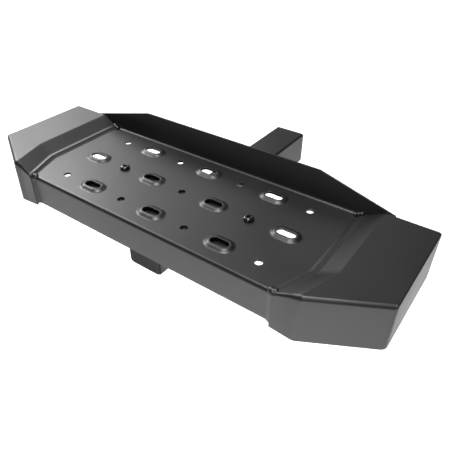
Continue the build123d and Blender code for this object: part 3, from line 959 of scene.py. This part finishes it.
# --- Plates, tube and nuts: the CAD shapes with their edges rolled --------------------------
def rolled_copy(name, node, edge, segments=3):
    """A copy of a CAD node with its flats joined up and its sharp edges rounded."""
    mesh = frame["nodes"][node].data.copy()
    work = bmesh.new()
    work.from_mesh(mesh)
    bmesh.ops.remove_doubles(work, verts=work.verts, dist=MERGE / 2 * MM)
    bmesh.ops.dissolve_limit(
        work, angle_limit=math.radians(0.5), verts=work.verts, edges=work.edges
    )
    work.to_mesh(mesh)
    work.free()
    piece = bpy.data.objects.new(name, mesh)
    bpy.context.scene.collection.objects.link(piece)
    rim = piece.modifiers.new("edge", "BEVEL")
    rim.width = edge * MM
    rim.segments = segments
    rim.limit_method = "ANGLE"
    rim.angle_limit = math.radians(40)
    rim.use_clamp_overlap = True
    bake(piece)
    dress(piece, node)


def build_plates():
    """Channel, shank and gussets, then the washers and nuts, whose edges are finer."""
    rolled_copy("bracket_channel", "cross_bracket", edge=0.5)
    rolled_copy("shank", "hitch_tube", edge=0.4)
    for end in ("front", "rear"):
        for hand in ("left", "right"):
            rolled_copy(f"gusset_plate_{end}_{hand}", f"gusset_{end}_{hand}", edge=0.4)
    for hand in ("left", "right"):
        rolled_copy(f"washer_{hand}", f"flat_washer_{hand}", edge=0.15, segments=2)
        rolled_copy(f"split_washer_{hand}", f"lock_washer_{hand}", edge=0.25, segments=2)
        rolled_copy(f"nut_{hand}", f"hex_nut_{hand}", edge=0.2, segments=2)


# --- Front plug ---------------------------------------------------------------------------
def rounded_square(half, radius, y, steps=6):
    """Points round a square with rounded corners, standing across the shank's axis."""
    points = []
    for quarter in range(4):
        turn = math.pi / 2 * quarter
        for k in range(steps + 1):
            angle = turn + math.pi / 2 * k / steps
            x = (half - radius) * (1 if quarter in (0, 3) else -1) + radius * math.cos(angle)
            z = (half - radius) * (1 if quarter in (0, 1) else -1) + radius * math.sin(angle)
            points.append((x, y, z))
    return points


def build_plug():
    """A dished flange with a soft edge, and a hollow body with three fins inside the shank."""
    low, high = (to_mm(corner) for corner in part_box("tube_front_plug"))
    middle_z = (low.z + high.z) / 2
    half = (high.x - low.x) / 2
    front, back = low.y, high.y
    body, fin, hollow = half - PLUG_BODY_INSET, half - PLUG_FIN_INSET, half - PLUG_HOLLOW_INSET
    corner, inner = PLUG_BODY_CORNER, PLUG_HOLLOW_CORNER
    rings = [(half - inset, radius, front + depth) for inset, radius, depth in PLUG_DISH]
    for k in range(PLUG_EDGE_STEPS + 1):
        angle = math.pi / 2 * k / PLUG_EDGE_STEPS
        inset = PLUG_EDGE * (1 - math.sin(angle))
        rings.append((half - inset, PLUG_CORNER - inset, front + PLUG_EDGE * (1 - math.cos(angle))))
    rings.append((half, PLUG_CORNER, front + PLUG_FLANGE))
    rings.append((body, corner, front + PLUG_FLANGE))
    for depth in PLUG_FIN_DEPTHS:
        start = front + PLUG_FLANGE + depth
        rings += [(body, corner, start), (fin, corner, start)]
        rings += [(fin, corner, start + PLUG_FIN_LAND), (body, corner, start + PLUG_FIN_FOOT)]
    rings += [(body, corner, back), (hollow, inner, back)]
    rings.append((hollow, inner, front + PLUG_FLANGE + PLUG_FLOOR))
    skin = Skin()
    rows = []
    for size, radius, y in rings:
        points = rounded_square(size, radius, y)
        rows.append(skin.row([(x, at, z + middle_z) for x, at, z in points]))
    for first, second in zip(rows, rows[1:]):
        skin.bridge(first + first[:1], second + second[:1])
    skin.faces.append(tuple(rows[0]))
    skin.faces.append(tuple(reversed(rows[-1])))
    finish_piece("shank_plug", skin.points, skin.faces, "tube_front_plug")


build_tray()
build_caps()
build_cap_welds()
build_bolt("button_bolt_left", "deck_bolt_left", -BOLT_X)
build_bolt("button_bolt_right", "deck_bolt_right", BOLT_X)
build_beads()
build_plates()
build_plug()


# --- Stage, lights and camera -----------------------------------------------------------
FLOOR_DROP = 0.35
FLOOR_SIZE = 30.0
FLOOR_GLOW = 0.45
FAR_GLOW = 0.55
# The pool: a painted pool of light, extra glow on the floor in front of the step's right end
PAINTED_POOL_GLOW = 1.5
POOL_CENTRE = place(480, -700, 0)
POOL_INNER = 0.2
POOL_OUTER = 0.95
FAR_START = 1.5
FAR_END = 3.2
ROOM_GLOW = 0.04

# Softboxes: azimuth from +Y towards +X, elevation, distance, width, height (m) and watts
SOFTBOXES = {
    "key_left": (-68, 34, 1.8, 0.5, 0.5, 8.1),
    "side_left": (-84, 32, 1.8, 0.6, 0.8, 20.0),
    "high_left": (-80, 56, 1.7, 0.7, 0.5, 5.0),
    "low_left": (-57, 14, 1.8, 0.5, 1.0, 2.6),
    "back_left": (-40, 26, 1.8, 0.6, 1.1, 3.0),
    "back_right": (-8, 38, 1.8, 0.7, 1.0, 1.6),
    "overhead_back": (-22, 62, 1.6, 0.7, 0.4, 1.1),
    "overhead": (150, 84, 1.6, 0.6, 0.5, 28.0),
    "front_right": (144, 52, 1.6, 0.8, 0.6, 6.0),
    "front_low": (158, 26, 1.8, 0.6, 0.8, 6.0),
}


def ring_glow(tree, distance, start, end, inner, outer):
    """A glow that goes smoothly from one strength to another between two distances."""
    node = tree.nodes.new("ShaderNodeMapRange")
    node.interpolation_type = "SMOOTHSTEP"
    node.inputs["From Min"].default_value = start
    node.inputs["From Max"].default_value = end
    node.inputs["To Min"].default_value = inner
    node.inputs["To Max"].default_value = outer
    tree.links.new(distance, node.inputs["Value"])
    return node.outputs["Result"]


def build_floor():
    """Pale paper that glows evenly, with a painted pool of light glowing in front of the step's
    right end, and glows more far away.
    """
    mesh = bpy.data.meshes.new("floor")
    half = FLOOR_SIZE / 2
    z = cad_box[0][2] - FLOOR_DROP
    corners = [(-half, -half, z), (half, -half, z), (half, half, z), (-half, half, z)]
    mesh.from_pydata(corners, [], [(0, 1, 2, 3)])
    floor = bpy.data.objects.new("floor", mesh)
    bpy.context.scene.collection.objects.link(floor)
    material, tree, shader = new_material("floor_paper", 0.9, specular=0.1)
    shader.inputs["Base Color"].default_value = (0.85, 0.85, 0.85, 1)
    shader.inputs["Emission Color"].default_value = (1, 1, 1, 1)
    distance = tree.nodes.new("ShaderNodeVectorMath")
    distance.operation = "DISTANCE"
    distance.inputs[1].default_value = (POOL_CENTRE[0], POOL_CENTRE[1], z)
    where = tree.nodes.new("ShaderNodeNewGeometry").outputs["Position"]
    tree.links.new(where, distance.inputs[0])
    away = distance.outputs["Value"]
    glow = tree.nodes.new("ShaderNodeMath")
    glow.operation = "ADD"
    # Painted pool of light: the floor glows brighter near the pool's centre, fading out by
    # POOL_OUTER
    near = ring_glow(tree, away, POOL_INNER, POOL_OUTER, FLOOR_GLOW + PAINTED_POOL_GLOW, FLOOR_GLOW)
    tree.links.new(near, glow.inputs[0])
    tree.links.new(ring_glow(tree, away, FAR_START, FAR_END, 0.0, FAR_GLOW), glow.inputs[1])
    tree.links.new(glow.outputs["Value"], shader.inputs["Emission Strength"])
    mesh.materials.append(material)


def aim(thing, target):
    direction = Vector(target) - thing.location
    thing.rotation_euler = direction.to_track_quat("-Z", "Y").to_euler()


def towards(azimuth, elevation):
    """Unit vector; azimuth is measured from +Y towards +X, both in degrees."""
    azimuth, elevation = math.radians(azimuth), math.radians(elevation)
    level = math.cos(elevation)
    return Vector((math.sin(azimuth) * level, math.cos(azimuth) * level, math.sin(elevation)))


def build_softboxes():
    middle = Vector(place(0, 0, 0))
    for name, (azimuth, elevation, distance, width, height, power) in SOFTBOXES.items():
        light = bpy.data.lights.new(name, "AREA")
        light.shape = "RECTANGLE"
        light.size = width
        light.size_y = height
        light.energy = power
        thing = bpy.data.objects.new(name, light)
        thing.location = middle + towards(azimuth, elevation) * distance
        bpy.context.scene.collection.objects.link(thing)
        aim(thing, middle)


def build_world():
    """A dark studio with a faint, even glow."""
    world = bpy.data.worlds.new("studio")
    bpy.context.scene.world = world
    world.use_nodes = True
    background = world.node_tree.nodes["Background"]
    background.inputs["Color"].default_value = (ROOM_GLOW, ROOM_GLOW, ROOM_GLOW, 1)


CAMERA_AZIMUTH = 180 - 35.85
CAMERA_ELEVATION = 36.75
CAMERA_DISTANCE = 0.557
CAMERA_TARGET = place(85.8, -25.2, 0.0)
CAMERA_LENS = 38.56


def build_camera():
    camera = bpy.data.objects.new("camera", bpy.data.cameras.new("camera"))
    camera.data.lens = CAMERA_LENS
    camera.data.sensor_width = 36.0
    camera.data.clip_start = 0.01
    back = towards(CAMERA_AZIMUTH, CAMERA_ELEVATION)
    camera.location = Vector(CAMERA_TARGET) + back * CAMERA_DISTANCE
    bpy.context.scene.collection.objects.link(camera)
    aim(camera, CAMERA_TARGET)
    bpy.context.scene.camera = camera


build_floor()
build_world()
build_camera()
build_softboxes()
bpy.context.scene.view_settings.view_transform = "Standard"
